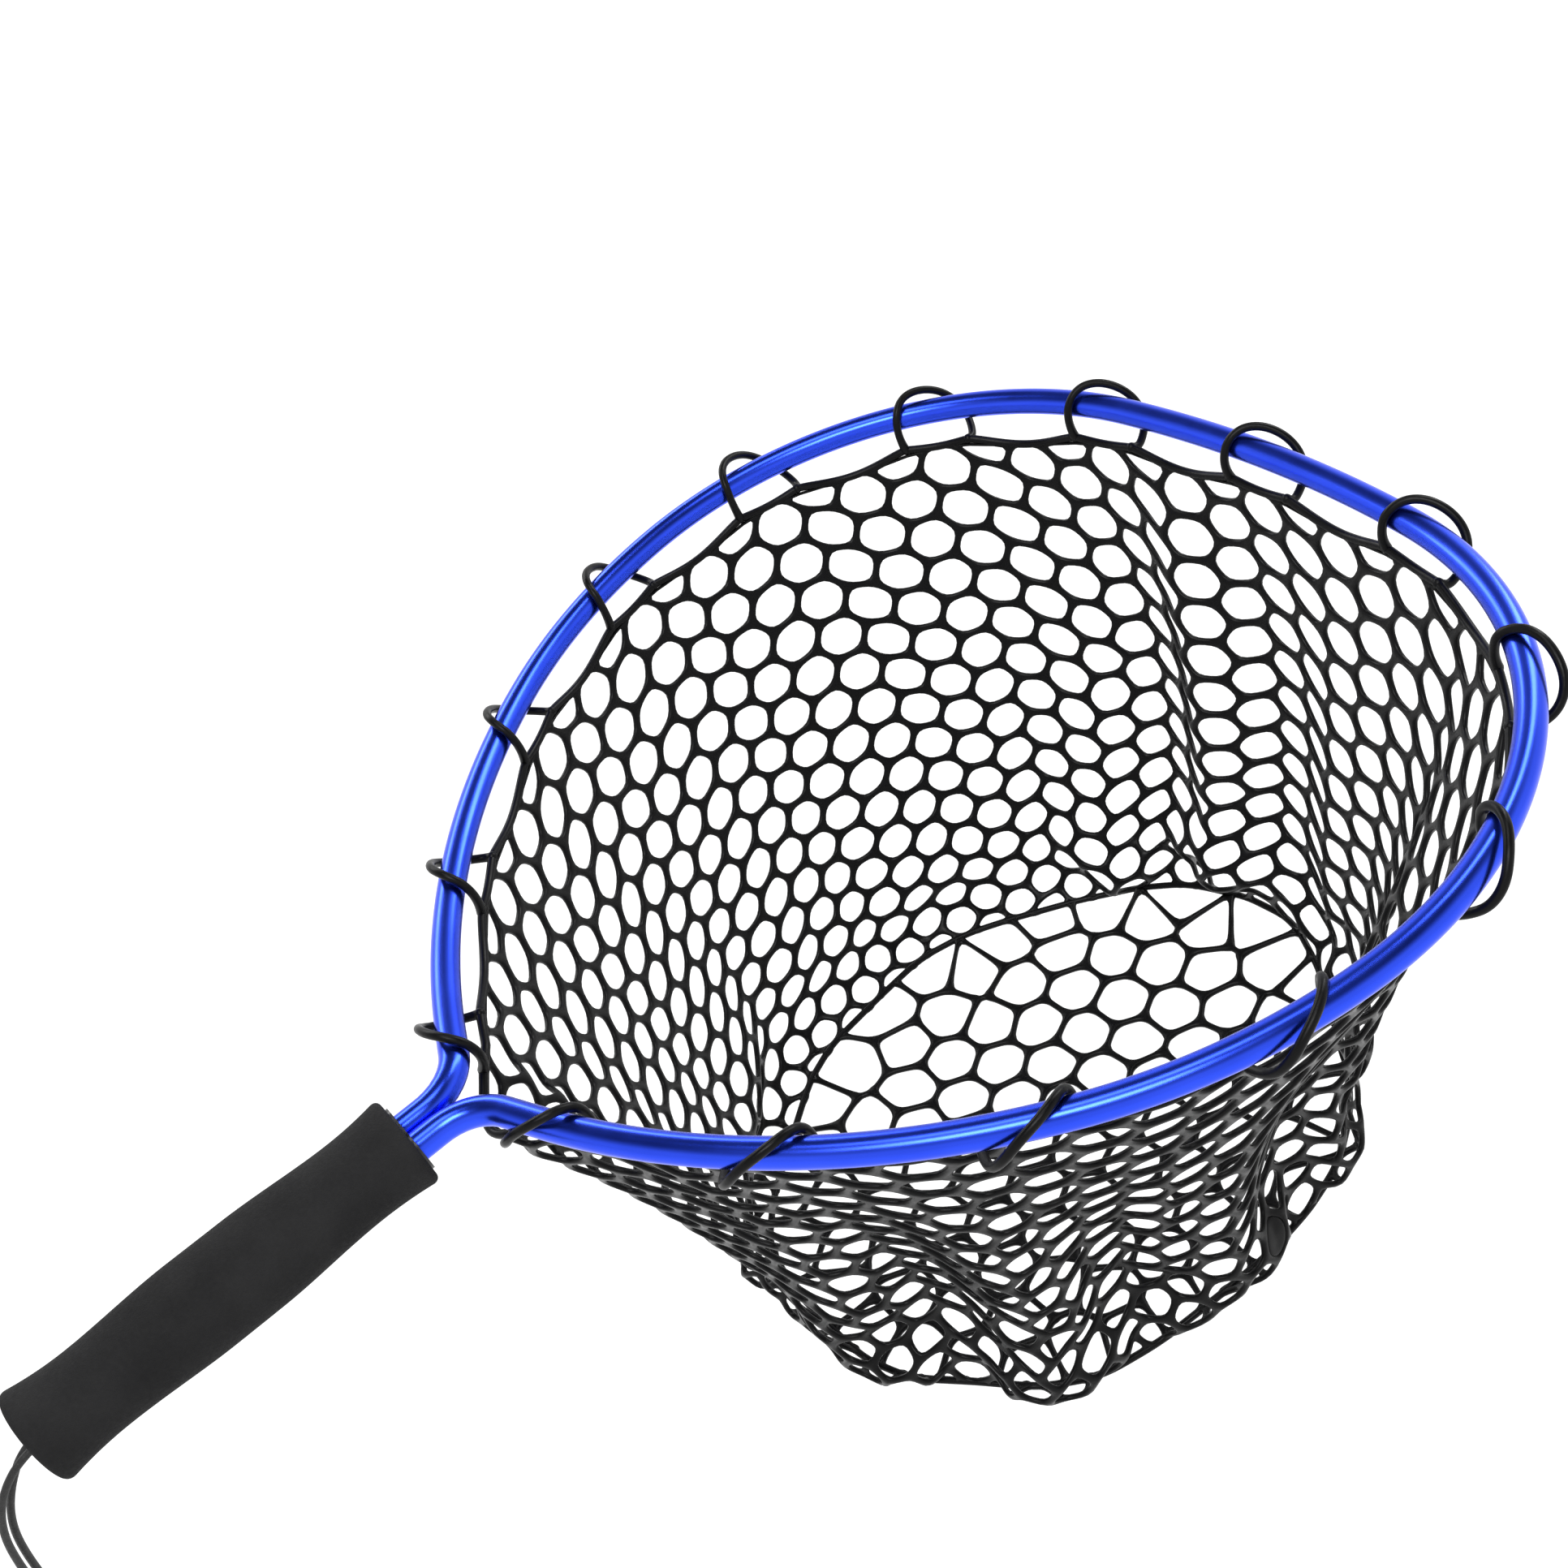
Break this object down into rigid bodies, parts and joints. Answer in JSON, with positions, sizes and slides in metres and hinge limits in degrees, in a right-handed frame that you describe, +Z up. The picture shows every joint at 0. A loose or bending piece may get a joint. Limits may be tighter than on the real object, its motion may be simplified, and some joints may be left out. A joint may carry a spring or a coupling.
{
  "type": "landing net",
  "caption": "Hand-held landing net: teardrop tube hoop, foam barrel handle, deep rubber mesh bag hung by loops, and a cord lanyard with a snap hook.",
  "frame": {"origin": "the middle of the handle's length, on the handle's axis and in the plane of the hoop", "axes": "+X from the handle towards the tip of the hoop, +Z up out of the hoop's plane on the open side of the bag, so the bag hangs along -Z"},
  "size_m": [0.5897, 0.3935, 0.383],
  "materials": {
    "anodised_hoop": "blue anodised, satin to semi-gloss",
    "grip_foam": "fine-grained closed-cell foam, matte",
    "black_plastic": "smooth, semi-gloss",
    "black_cord": "smooth round cord, low sheen",
    "net_rubber": "moulded rubber, semi-gloss",
    "anodised_hook": "dark blue anodised, satin",
    "gate_metal": "bare, satin",
    "pin_steel": "bare steel"
  },
  "bodies": {
    "net": {"hoop_tube": "anodised_hoop", "tail_pin": "pin_steel", "foam_grip": "grip_foam", "front_collar": "black_plastic", "butt_plug": "black_plastic", "lanyard_knot": "black_cord", "lanyard_cord": "black_cord", "net_rim": "net_rubber", "net_wall": "net_rubber", "net_plate": "net_rubber", "net_loop_01": "net_rubber", "net_loop_02": "net_rubber", "net_loop_03": "net_rubber", "net_loop_04": "net_rubber", "net_loop_05": "net_rubber", "net_loop_06": "net_rubber", "net_loop_07": "net_rubber", "net_loop_08": "net_rubber", "net_loop_09": "net_rubber", "net_loop_10": "net_rubber", "net_loop_11": "net_rubber", "net_loop_12": "net_rubber", "net_loop_13": "net_rubber", "net_loop_14": "net_rubber", "net_loop_15": "net_rubber"},
    "bag_floor": {"net_floor": "net_rubber"},
    "snap_hook": {"carabiner_body": "anodised_hook"},
    "gate": {"carabiner_gate": "gate_metal", "gate_hinge_pin": "pin_steel", "gate_latch_pin": "pin_steel", "gate_plunger": "pin_steel", "gate_spring": "pin_steel"}
  },
  "joints": [
    {"name": "floor_lift", "type": "slide", "parent": "net", "child": "bag_floor", "axis": [0, 0, 1], "range_m": [0, 0.12]},
    {"name": "hook_swing", "type": "hinge", "parent": "net", "child": "snap_hook", "pos_m": [-0.1095, 0, -0.3331], "axis": [0.6969, 0.7172, 0], "range_deg": [-60, 60]},
    {"name": "gate_swing", "type": "hinge", "parent": "snap_hook", "child": "gate", "pos_m": [-0.1039, 0, -0.35293], "axis": [0, -1, 0], "range_deg": [0, 28], "stiffness_Nm_per_rad": 0.03, "springref_deg": -20.05}
  ]
}
